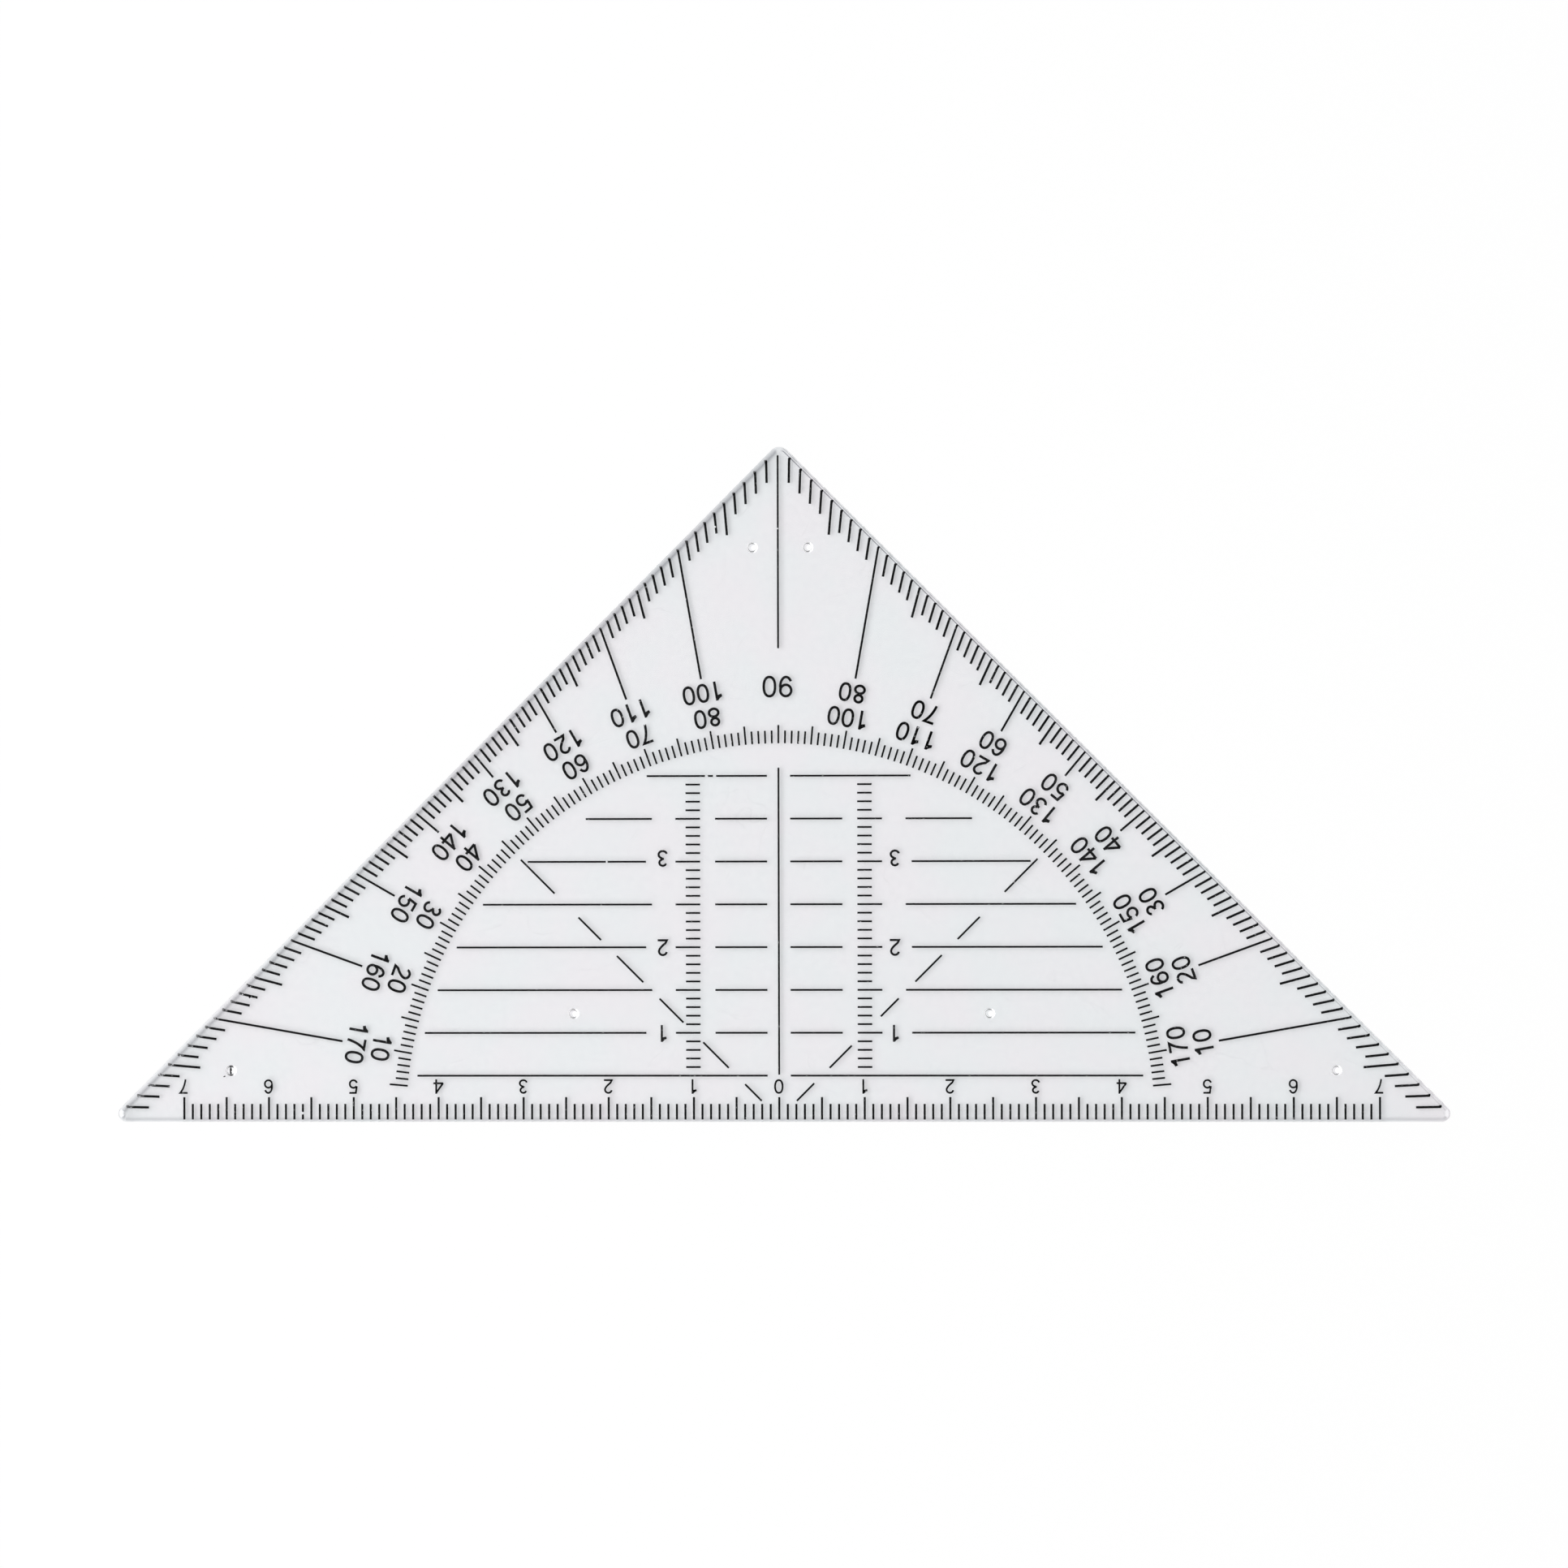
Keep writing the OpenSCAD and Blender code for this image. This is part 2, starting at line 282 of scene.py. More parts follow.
# the clear plate: the same outline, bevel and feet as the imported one, with fine roundings
plate = {
    "edgeLength": 158.5,         # mm, between the sharp corners
    "thickness": 1.5,
    "bevelWidth": 0.5,
    "bevelDepth": 0.12,
    "tipRadius": 0.95,
    "tipHalfAngle": 22.5,        # degrees
    "apexRadius": 1.3,
    "cornerSteps": 28,
    "edgeRounding": 0.05,        # of the wall's two edges
    "bevelRounding": 0.10,       # of the bevel's inner edge
    "roundingSteps": 4,
    "footDiameter": 1.25,
    "footHeight": 0.45,
    "footFillet": 0.10,
    "filletBend": 0.99,          # how far in the fillet's curve bends, as a share of the foot's radius
    "filletSteps": 5,
    "domeStart": 0.97,           # where the dome leaves the fillet, as a share of its angle
    "domeSteps": 14,
    "footSteps": 40,
    "feet": [(3.25, 67.0), (24.35, 12.6), (64.7, 5.95)],      # right half, mirrored to the left
}


def curvePoints(start, bend, end, steps=10):
    # a curve from start to end that is drawn towards bend
    shares = [k / steps for k in range(steps + 1)]
    return [tuple(Vector(start) * (1 - t) ** 2 + Vector(bend) * (2 * t * (1 - t)) + Vector(end) * t ** 2)
            for t in shares]


def outlineRing(setup, inset):
    half = setup["edgeLength"] / 2
    lean = setup["tipHalfAngle"]
    corners = [((half, 0), -lean, lean, setup["tipRadius"]),
               ((0, half), 90.0, 2 * lean, setup["apexRadius"]),
               ((-half, 0), 180.0 + lean, lean, setup["tipRadius"])]
    ring = []
    for corner, facing, halfAngle, radius in corners:
        out = Vector((math.cos(math.radians(facing)), math.sin(math.radians(facing))))
        centre = Vector(corner) - out * radius / math.sin(math.radians(halfAngle))
        for k in range(setup["cornerSteps"] + 1):
            a = math.radians(facing + (90 - halfAngle) * (2 * k / setup["cornerSteps"] - 1))
            ring.append(centre + Vector((math.cos(a), math.sin(a))) * (radius - inset))
    return ring


def roundedProfile(points, reach, steps):
    # every inner point becomes a short curve that starts and ends reach[i] away from it
    path = [Vector(points[0])]
    for i in range(1, len(points) - 1):
        at = Vector(points[i])
        start = at + (Vector(points[i - 1]) - at).normalized() * reach[i]
        end = at + (Vector(points[i + 1]) - at).normalized() * reach[i]
        path += [Vector(p) for p in curvePoints(start, at, end, steps)]
    path.append(Vector(points[-1]))
    return path


def addRing(bm, ring, z):
    return [bm.verts.new((p.x * mm, p.y * mm, z * mm)) for p in ring]


def bridge(bm, low, high, smooth=False):
    faces = []
    for i in range(len(low)):
        j = (i + 1) % len(low)
        faces.append(bm.faces.new((low[i], low[j], high[j], high[i])))
        faces[-1].smooth = smooth
    return faces


def ringEdges(bm, ring):
    return [bm.edges.get((ring[i], ring[(i + 1) % len(ring)])) or
            bm.edges.new((ring[i], ring[(i + 1) % len(ring)])) for i in range(len(ring))]


def addFoot(bm, setup, x, y):
    radius, height = setup["footDiameter"] / 2, setup["footHeight"]
    dome = (radius ** 2 + height ** 2) / (2 * height)
    widest = math.asin(radius / dome) * setup["domeStart"]
    path = []
    for k in range(setup["domeSteps"]):
        a = widest * (1 - k / setup["domeSteps"])
        path.append(Vector((dome * math.sin(a), dome - dome * math.cos(a))))
    base = curvePoints((radius + setup["footFillet"], height), (radius * setup["filletBend"], height),
                       path[0], setup["filletSteps"])
    turns = [2 * math.pi * k / setup["footSteps"] for k in range(setup["footSteps"])]
    rings = []
    for r, z in base[:-1] + path:
        rings.append(addRing(bm, [Vector((x + r * math.cos(a), y + r * math.sin(a))) for a in turns], z))
    for low, high in zip(rings, rings[1:]):
        bridge(bm, low, high, True)
    pole = bm.verts.new((x * mm, y * mm, 0))
    last = rings[-1]
    for i in range(len(last)):
        bm.faces.new((last[i], last[(i + 1) % len(last)], pole)).smooth = True
    return ringEdges(bm, rings[0])


def makePlate(setup):
    bm = bmesh.new()
    low = setup["footHeight"]
    top = low + setup["thickness"]
    width, depth = setup["bevelWidth"], setup["bevelDepth"]
    profile = [(width * 0.5, low), (0, low), (0, top - depth), (width, top), (width * 1.5, top)]
    reach = [0, setup["edgeRounding"], setup["edgeRounding"], setup["bevelRounding"], 0]
    path = roundedProfile(profile, reach, setup["roundingSteps"])
    rings = [addRing(bm, outlineRing(setup, p.x), p.y) for p in path]
    for a, b in zip(rings, rings[1:]):
        bridge(bm, a, b, True)
    holes = ringEdges(bm, rings[0])
    for x, y in setup["feet"]:
        for side in (1, -1):
            holes += addFoot(bm, setup, side * x, y)
    bm.faces.new(rings[-1])
    bmesh.ops.triangle_fill(bm, use_beauty=True, edges=holes)
    bmesh.ops.recalc_face_normals(bm, faces=bm.faces)
    mesh = bpy.data.meshes.new("clearPlate")
    bm.to_mesh(mesh)
    bm.free()
    obj = bpy.data.objects.new("clearPlate", mesh)
    bpy.context.scene.collection.objects.link(obj)
    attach(obj, body)
    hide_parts("plate")
    return obj


clearPlate = makePlate(plate)
print("plate made")


# the numerals of the print: thin round strokes of ink, read from the protractor's centre
numerals = {
    "advance": 0.777,            # width of a digit's cell as a share of its height
    "pitch": 0.746,              # from one digit to the next, the same way
    "halfWidth": 0.32,           # of the digit itself
    "film": (0.42, 0.45),        # mm, between the drawing surface and the plate
    "shift": (-0.25, 0.35),      # mm, the protractor's centre
    "ruler": (1.7, 0.215, (-0.05, 0.0)),       # height, stroke and own shift, all in mm
    "degree": (2.24, 0.305, (-0.085, 0.085)),
    "ninety": (2.54, 0.305, (-0.085, 0.085)),
    "scale": (1.98, 0.257, (0.0, 0.0)),
    "rulerPlace": 3.73,          # mm above the protractor's centre
    "outerRadius": 50.33,        # mm, of the rows of degrees
    "innerRadius": 47.37,
    "scalePlaces": (-13.615, 13.57),           # mm along the ruling edge, of the height scales
    "scaleRows": (9.93, 19.95, 30.38),         # and up from it
    "curveSteps": 40,            # of a full turn
}


def arcPoints(x, y, a, b, start, end, power=2.0):
    # part of an ellipse, or of a squarer round where power is above 2
    steps = max(6, int(numerals["curveSteps"] * abs(end - start) / 360))
    points = []
    for k in range(steps + 1):
        t = math.radians(start + (end - start) * k / steps)
        c, s = math.cos(t), math.sin(t)
        points.append((x + a * math.copysign(abs(c) ** (2 / power), c),
                       y + b * math.copysign(abs(s) ** (2 / power), s)))
    return points


def digitStrokes(digit, e):
    # centre lines in a cell one unit high, as (points, closed); e is half the stroke
    mid = numerals["advance"] / 2
    wide = numerals["halfWidth"] - e
    left, right, top, foot = mid - wide, mid + wide, 1 - e, e
    if digit == 0:
        return [(arcPoints(mid, 0.5, wide, 0.5 - e, 0, 360, power=2.3)[:-1], True)]
    if digit == 1:
        stem = 0.519 - e
        return [([(stem, 0), (stem, 1)], False),
                (curvePoints((stem, 0.985 - 0.4 * e), (stem - 0.11, 0.81), (stem - 0.275, 0.755)), False),
                (curvePoints((stem, 0.88 - e), (stem - 0.11, 0.775),
                             (stem - 0.275, 0.755 - 0.2 * e)), False)]
    if digit == 2:
        bowl = arcPoints(mid - 0.005, 0.72, 0.29 - e, 0.28 - e, 172, -28)
        slope = curvePoints(bowl[-1], (mid + 0.13, 0.46), (mid - 0.16, 0.24))
        return [(bowl + slope[1:] + [(left + 0.012, foot), (mid + 0.3, foot)], False)]
    if digit == 3:
        return [(arcPoints(mid - 0.012, 0.75, 0.262 - e, 0.25 - e, 165, -88), False),
                ([(mid - 0.085, 0.527), (mid + 0.03, 0.527)], False),
                (arcPoints(mid - 0.012, 0.2775, 0.305 - e, 0.2775 - e, 84, -167), False)]
    if digit == 4:
        stem = mid + 0.135
        return [([(stem, 0), (stem, 1)], False),
                ([(mid - 0.345, 0.275), (mid + 0.33, 0.275)], False),
                ([(stem, top - 0.2 * e), (mid - 0.335, 0.275)], False)]
    if digit == 5:
        return [([(mid + 0.275, top), (mid - 0.175, top), (mid - 0.245, 0.475)], False),
                (arcPoints(mid - 0.008, 0.325, 0.315 - e, 0.325 - e, 146, -163), False)]
    if digit == 6:
        return [(arcPoints(mid + 0.008, 0.32, 0.31 - e, 0.32 - e, 0, 360)[:-1], True),
                (arcPoints(mid + 0.02, 0.5, 0.325 - e, 0.5 - e, 201, 33), False)]
    if digit == 7:
        return [([(left, top), (right, top)] +
                 curvePoints((right, top), (mid - 0.045, 0.58), (mid - 0.115, 0))[1:], False)]
    if digit == 8:
        return [(arcPoints(mid, 0.745, 0.268 - e, 0.255 - e, 0, 360)[:-1], True),
                (arcPoints(mid, 0.272, 0.312 - e, 0.272 - e, 0, 360)[:-1], True)]
    return [([(2 * mid - x, 1 - y) for x, y in points], closed)          # a 9 is a 6 turned round
            for points, closed in digitStrokes(6, e)]


def strokeMesh(points, closed, half, low, high):
    # a flat ribbon of ink along the points, square in section
    bm = bmesh.new()
    points = [Vector(p) for p in points]
    count = len(points)
    stations = []
    for i, p in enumerate(points):
        before = points[i - 1] if i or closed else p
        after = points[(i + 1) % count] if i < count - 1 or closed else p
        a = (p - before).normalized() if p != before else (after - p).normalized()
        b = (after - p).normalized() if after != p else a
        across = Vector((-(a + b).y, (a + b).x)).normalized()
        reach = half / max(0.4, across.dot(Vector((-a.y, a.x))))
        stations.append([bm.verts.new((q.x, q.y, z)) for q, z in (
            (p + across * reach, low), (p - across * reach, low),
            (p - across * reach, high), (p + across * reach, high))])
    for i in range(count if closed else count - 1):
        here, there = stations[i], stations[(i + 1) % count]
        for k in range(4):
            bm.faces.new((here[k], here[(k + 1) % 4], there[(k + 1) % 4], there[k]))
    if not closed:
        bm.faces.new(stations[0])
        bm.faces.new(stations[-1])
    bmesh.ops.recalc_face_normals(bm, faces=bm.faces)
    mesh = bpy.data.meshes.new("stroke")
    bm.to_mesh(mesh)
    bm.free()
    return bpy.data.objects.new("stroke", mesh)


def digitMesh(digit, height, stroke):
    # strokes that cross are joined into one solid; lengths are in mm here
    low, high = numerals["film"]
    half = stroke / 2
    parts = []
    for points, closed in digitStrokes(digit, half / height):
        parts.append(strokeMesh([(x * height, y * height) for x, y in points], closed, half, low, high))
    for part in parts:
        bpy.context.scene.collection.objects.link(part)
    for other in parts[1:]:
        union = parts[0].modifiers.new("union", "BOOLEAN")
        union.operation = "UNION"
        union.solver = "EXACT"
        union.object = other
    bpy.context.view_layer.update()
    made = bpy.data.meshes.new_from_object(parts[0].evaluated_get(bpy.context.evaluated_depsgraph_get()))
    for part in parts:
        old = part.data
        bpy.data.objects.remove(part)
        bpy.data.meshes.remove(old)
    return made


digitMeshes = {}


def addLabel(bm, text, x, y, up, kind):
    # the label is centred on (x, y), in mm from the protractor's centre
    up = Vector(up).normalized()
    along = Vector((up.y, -up.x))
    height, stroke, ownShift = numerals[kind]
    cell = numerals["advance"] * height
    pitch = numerals["pitch"] * height
    middle = Vector((x, y)) + Vector(numerals["shift"]) + Vector(ownShift)
    for place, digit in enumerate(text):
        key = (int(digit), height, stroke)
        if key not in digitMeshes:
            digitMeshes[key] = digitMesh(*key)
        aside = (place - (len(text) - 1) / 2) * pitch - cell / 2
        corner = middle + along * aside - up * height / 2
        turn = Matrix(((along.x * mm, up.x * mm, 0, corner.x * mm),
                       (along.y * mm, up.y * mm, 0, corner.y * mm),
                       (0, 0, mm, 0), (0, 0, 0, 1)))
        start = len(bm.verts)
        bm.from_mesh(digitMeshes[key])
        bm.verts.ensure_lookup_table()
        bmesh.ops.transform(bm, matrix=turn, verts=bm.verts[start:])


def finishLabels(bm, name):
    mesh = bpy.data.meshes.new(name)
    bm.to_mesh(mesh)
    bm.free()
    obj = bpy.data.objects.new(name, mesh)
    bpy.context.scene.collection.objects.link(obj)
    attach(obj, body)
    return obj


def makeRulerNumerals():
    bm = bmesh.new()
    for count in range(-7, 8):
        addLabel(bm, str(abs(count)), 10 * count, numerals["rulerPlace"], (0, -1), "ruler")
    return finishLabels(bm, "rulerNumerals")


def makeDegreeNumerals(name, radius, fromRight):
    bm = bmesh.new()
    for angle in range(10, 180, 10):
        if angle == 90:
            continue
        out = Vector((math.cos(math.radians(angle)), math.sin(math.radians(angle))))
        label = str(angle if fromRight else 180 - angle)
        addLabel(bm, label, out.x * radius, out.y * radius, -out, "degree")
    if fromRight:
        addLabel(bm, "90", 0, radius, (0, -1), "ninety")
    return finishLabels(bm, name)


def makeHeightNumerals():
    bm = bmesh.new()
    for x in numerals["scalePlaces"]:
        for count, y in enumerate(numerals["scaleRows"], 1):
            addLabel(bm, str(count), x, y, (0, -1), "scale")
    return finishLabels(bm, "heightNumerals")


numeralPieces = [
    makeRulerNumerals(),
    makeDegreeNumerals("outerDegreeNumerals", numerals["outerRadius"], True),
    makeDegreeNumerals("innerDegreeNumerals", numerals["innerRadius"], False),
    makeHeightNumerals(),
]
for mesh in digitMeshes.values():
    bpy.data.meshes.remove(mesh)
print("numerals made")


# stray ink: a flake on the left tip's foot, and two specks beside it and on a degree line
strayInk = {
    "film": (0.42, 0.45),                      # mm
    "flakeOn": (-64.7, 5.95),                  # the foot
    "flake": [(-0.10, 0.40, 0.05), (-0.08, 0.22, 0.08), (-0.07, 0.05, 0.13), (-0.09, -0.12, 0.07),
              (-0.07, -0.26, 0.11), (-0.08, -0.38, 0.06)],     # mm from the foot's middle, half the width
    "flakeFilm": 0.02,
    "flakeGap": 0.001,                         # between it and the foot
    "specks": [((-65.50, 5.27), (0.15, 0.07), 20), ((-62.47, 14.60), (0.13, 0.17), -25)],
    "speckSteps": 11,
    "speckRaggedness": 0.22,
    "speckWave": (3.7, 40),                    # radians a step and a millimetre, which make each one ragged
}


def makeStrayInk(setup, feet):
    bm = bmesh.new()
    low, high = setup["film"]
    radius, height = feet["footDiameter"] / 2, feet["footHeight"]
    dome = (radius ** 2 + height ** 2) / (2 * height)
    cx, cy = setup["flakeOn"]
    rows = []
    for x, y, half in setup["flake"]:
        row = []
        for side in (-1, 1):
            px, py = x + side * half, y
            under = dome - math.sqrt(dome ** 2 - px ** 2 - py ** 2)
            outward = Vector((px, py, under - dome)).normalized()
            for lift in (setup["flakeFilm"], setup["flakeGap"]):
                at = Vector((cx + px, cy + py, under)) + outward * lift
                at.z = max(at.z, 0.0)          # it can't reach into the paper
                row.append(bm.verts.new(at * mm))
        rows.append(row)
    for a, b in zip(rows, rows[1:]):
        for i, j in ((0, 1), (1, 3), (3, 2), (2, 0)):
            bm.faces.new((a[i], a[j], b[j], b[i]))
    for row in (rows[0], rows[-1]):
        bm.faces.new((row[0], row[1], row[3], row[2]))
    wave, start = setup["speckWave"]
    for (x, y), (long, short), lean in setup["specks"]:
        turn = Matrix.Rotation(math.radians(lean), 2)
        ring = []
        for k in range(setup["speckSteps"]):
            a = 2 * math.pi * k / setup["speckSteps"]
            ragged = 1 + setup["speckRaggedness"] * math.sin(wave * k + long * start)
            ring.append(Vector((x, y)) + turn @ Vector((long * math.cos(a), short * math.sin(a))) * ragged)
        bottom, top = addRing(bm, ring, low), addRing(bm, ring, high)
        bridge(bm, bottom, top)
        bm.faces.new(bottom)
        bm.faces.new(top)
    bmesh.ops.recalc_face_normals(bm, faces=bm.faces)
    return finishLabels(bm, "strayInk")


strayPiece = makeStrayInk(strayInk, plate)
print("stray ink made")


# what several materials share
def makeEdgeGroup(setup):
    # distance in mm to the outline seen from above, and the way that the outline faces there
    half = setup["edgeLength"] / 2
    slant = math.sqrt(0.5)
    tree, start, end = newGroup("nearestEdge", [("Place", "NodeSocketVector", None)],
                                [("Distance", "NodeSocketFloat"), ("Facing", "NodeSocketVector")])
    parts = addNode(tree, "ShaderNodeSeparateXYZ", {0: start.outputs["Place"]})
    out = mathNode(tree, "ABSOLUTE", parts.outputs["X"])
    rise = parts.outputs["Y"]
    past = mathNode(tree, "SUBTRACT", half, mathNode(tree, "ADD", out, rise))
    leg = mathNode(tree, "MULTIPLY", past, slant)
    distance = mathNode(tree, "MINIMUM", leg, rise)
    facing = mixVector(tree, mathNode(tree, "LESS_THAN", rise, leg), (slant, slant, 0), (0, -1, 0))
    mirrored = addNode(tree, "ShaderNodeCombineXYZ", {"X": out, "Y": rise})
    tip, apex = setup["tipRadius"], setup["apexRadius"]
    tipInset = tip / math.tan(math.radians(setup["tipHalfAngle"]))
    corners = [((half - tipInset, tip, 0), (1, 0, 0), (slant, -slant, 0), tip),
               ((0, half - apex / slant, 0), (1, 0, 0), (-slant, slant, 0), apex)]
    for centre, first, second, radius in corners:
        spoke = vectorNode(tree, "SUBTRACT", mirrored.outputs[0], centre)
        beyond = [mathNode(tree, "GREATER_THAN", vectorNode(tree, "DOT_PRODUCT", spoke, way), 0)
                  for way in (first, second)]
        inside = mathNode(tree, "MULTIPLY", *beyond)
        rounded = mathNode(tree, "SUBTRACT", radius, vectorNode(tree, "LENGTH", spoke))
        distance = mixValue(tree, inside, distance, rounded)
        facing = mixVector(tree, inside, facing, vectorNode(tree, "NORMALIZE", spoke))
    side = addNode(tree, "ShaderNodeCombineXYZ", {"X": mathNode(tree, "SIGN", parts.outputs["X"]),
                                                  "Y": 1.0, "Z": 1.0})
    tree.links.new(distance, end.inputs["Distance"])
    tree.links.new(vectorNode(tree, "MULTIPLY", facing, side.outputs[0]), end.inputs["Facing"])
    return tree


def makeLineGroup():
    # one soft line of painted shade, or of painted light where it is turned round, that runs at a distance
    # from the outline: 1 beside it, 1 - Depth on it
    tree, start, end = newGroup("paintedLine", [
        ("Distance", "NodeSocketFloat", 0.0), ("Centre", "NodeSocketFloat", 0.5),
        ("Width", "NodeSocketFloat", 0.1), ("Depth", "NodeSocketFloat", 0.3)],
        [("Value", "NodeSocketFloat")])
    off = mathNode(tree, "DIVIDE", mathNode(tree, "SUBTRACT", start.outputs["Distance"],
                                            start.outputs["Centre"]), start.outputs["Width"])
    square = mathNode(tree, "MULTIPLY", off, off)
    bell = mathNode(tree, "EXPONENT", mathNode(tree, "MULTIPLY", square, -1.0))
    darker = mathNode(tree, "MULTIPLY", bell, start.outputs["Depth"])
    tree.links.new(mathNode(tree, "SUBTRACT", 1.0, darker), end.inputs["Value"])
    return tree


def makeFootGroup(setup):
    # the place in mm from the middle of the foot that lies here, and 1 within its reach
    tree, start, end = newGroup("nearestFoot", [("Place", "NodeSocketVector", None)],
                                [("Local", "NodeSocketVector"), ("Within", "NodeSocketFloat")])
    flat = vectorNode(tree, "MULTIPLY", start.outputs["Place"], (1, 1, 0))
    local, within = (0, 0, 0), 0.0
    for x, y in setup["feet"]:
        for side in (1, -1):
            spoke = vectorNode(tree, "SUBTRACT", flat, (side * x, y, 0))
            here = mathNode(tree, "LESS_THAN", vectorNode(tree, "LENGTH", spoke), setup["footDiameter"])
            local = vectorNode(tree, "ADD", vectorNode(tree, "SCALE", spoke, scale=here), local)
            within = mathNode(tree, "ADD", here, within)
    tree.links.new(local, end.inputs["Local"])
    tree.links.new(within, end.inputs["Within"])
    return tree


def makeScratchGroup():
    # sparse hair scratches: 1 on a scratch, 0 beside it
    tree, start, end = newGroup("hairScratches", [
        ("Place", "NodeSocketVector", None), ("Size", "NodeSocketFloat", 10.0),
        ("Width", "NodeSocketFloat", 0.01)], [("Value", "NodeSocketFloat")])
    scale = mathNode(tree, "DIVIDE", 1.0, start.outputs["Size"])
    bend = addNode(tree, "ShaderNodeTexNoise", {
        "Vector": start.outputs["Place"], "Scale": scale, "Detail": 2.0})
    bent = vectorNode(tree, "ADD", start.outputs["Place"],
                      vectorNode(tree, "SCALE", bend.outputs["Color"], scale=start.outputs["Size"]))
    cells = addNode(tree, "ShaderNodeTexVoronoi", {"Vector": bent, "Scale": scale},
                    feature="DISTANCE_TO_EDGE")
    line = mapRange(tree, cells.outputs["Distance"], 0.0, start.outputs["Width"], 1.0, 0.0)
    where = addNode(tree, "ShaderNodeTexNoise", {"Vector": start.outputs["Place"], "Detail": 1.0,
                                                 "Scale": mathNode(tree, "MULTIPLY", scale, 1.7)})
    tree.links.new(mathNode(tree, "MULTIPLY", line, mapRange(tree, where.outputs["Fac"], 0.52, 0.62)),
                   end.inputs["Value"])
    return tree


nearestEdge = makeEdgeGroup(plate)
nearestFoot = makeFootGroup(plate)
hairScratches = makeScratchGroup()
paintedLine = makeLineGroup()


# clear plastic: the bevel's borders show as fine grey lines and the outline has shade inside it, both
# painted shade in the top face's colour; the tips, the feet and light deep inside get painted light in the
# emission; and light is turned away by the walls
plastic = {
    "tint": (0.945, 0.944, 0.957, 1),
    "ior": 1.49,
    "roughness": (0.0, 0.03),
    "smudgeSize": 2.5,                        # mm
    "coolTint": (0.968, 0.997, 0.998, 1),      # faint patches in the moulding
    "warmTint": (1.0, 0.985, 0.998, 1),
    "patchSize": 9.0,                         # mm
    "topLevel": 1.78,                         # mm, above it lie the top face and its bevel
    "leftShade": (0.54, 0.27, 0.57),          # painted shade inside the left leg: mm from the outline, mm wide, and how dark
    # painted shade in a wider band inside the left leg
    "leftShadeBand": (0.25, 0.35, 0.50),
    "leftGain": (12.0, 60.0, 0.30),           # mm up the left leg, over which that painted band darkens
    # painted shade: the grey line at the right bevel's inner border, and a fainter one near the outline
    "rightShadeLine": (0.39, 0.065, 0.92),
    "rightShadeRim": (0.15, 0.06, 0.55),
    "fainter": (5.0, 34.0, 0.35),             # mm up the right leg, over which its painted lines of shade gain strength
    # painted shade inside the ruling edge
    "bottomShade": (0.30, 0.24, 0.39),
    "shadeTint": (0.0, 0.0, 0.035, 1),        # what is left of blue in the darkest painted shade
    "scratchSize": 9.0,                       # mm
    "scratchWidth": 0.008,                    # as a share of that
    "scratchDepth": 0.06,
    "footLevel": 0.44,                        # mm, below it lie the feet
    "paintedFootCore": (0.18, -0.02, 0.40, 0.60),    # painted light where the dome gathers the lamp's light: mm right, up, its reach and strength
    "footCoreEdge": 0.35,                     # share of its reach that is at full strength
    "paintedFootRim": (0.40, 0.62, 0.22),            # painted light: mm from the middle, and how far its right half is lightened
    "footRimSide": (-0.1, 0.3),               # mm right of the middle, over which that comes in
    "leftFaces": (-0.2, -0.6),                # how far right the outline faces at each side
    "rightFaces": (0.1, 0.6),
    "bottomFaces": (-0.3, -0.9),              # how far it faces up
    "tipFaces": (0.715, 0.84),                # and to either side
    "tipShadeRim": (0.05, 0.06, 0.45),             # painted shade: the tips' thin outer line
    "tipShadeCurve": (0.74, 0.12, 0.40),           # and painted shade inside their bevel
    "tipCurveRight": 0.3,                     # share of it at the right tip
    "tipPaintedLight": (0.36, 0.20, 0.13),            # painted light in the emission, where the bevel gathers light there
    "deepFrom": 5.5,                          # bounces, after which the plate gives off painted light for light that has spread inside it
    "deepPaintedLight": 0.28,                         # and how bright that painted light is at each bounce
    "lampTint": (0.965, 0.965, 0.968, 1),     # what a lamp loses through the flat faces
    "wallTint": (0.60, 0.60, 0.605, 1),       # and through the walls towards the lamp
    "farWallTint": (0.95, 0.95, 0.955, 1),    # and through those away from it
    "flatFrom": (0.2, 0.6),                   # how level a face is, between wall and flat face
    "wallTurn": (-0.62, 0.25),                # how far a wall faces right, between the two
}


def addSoftLine(tree, distance, line, share):
    centre, width, depth = line
    return useGroup(tree, paintedLine, {
        "Distance": distance, "Centre": centre, "Width": width,
        "Depth": mathNode(tree, "MULTIPLY", share, depth)}).outputs["Value"]


def footGlow(tree, place, height, setup):
    # painted light on the foot's dome, in place of the lamp light that the dome gathers to its right
    x, y, reach, strength = setup["paintedFootCore"]
    foot = useGroup(tree, nearestFoot, {"Place": place})
    away = vectorNode(tree, "LENGTH", vectorNode(tree, "SUBTRACT", foot.outputs["Local"], (x, y, 0)))
    core = mapRange(tree, away, reach * setup["footCoreEdge"], reach, strength, 0.0)
    low, high, lift = setup["paintedFootRim"]
    radius = vectorNode(tree, "LENGTH", foot.outputs["Local"])
    aside = addNode(tree, "ShaderNodeSeparateXYZ", {0: foot.outputs["Local"]})
    rightHalf = mapRange(tree, aside.outputs["X"], *setup["footRimSide"], 0.0, lift)
    rim = mathNode(tree, "MULTIPLY", mapRange(tree, radius, low, (low + high) / 2), rightHalf)
    both = mathNode(tree, "MULTIPLY", mathNode(tree, "MAXIMUM", core, rim), foot.outputs["Within"])
    return mathNode(tree, "MULTIPLY", both, mathNode(tree, "LESS_THAN", height, setup["footLevel"]))


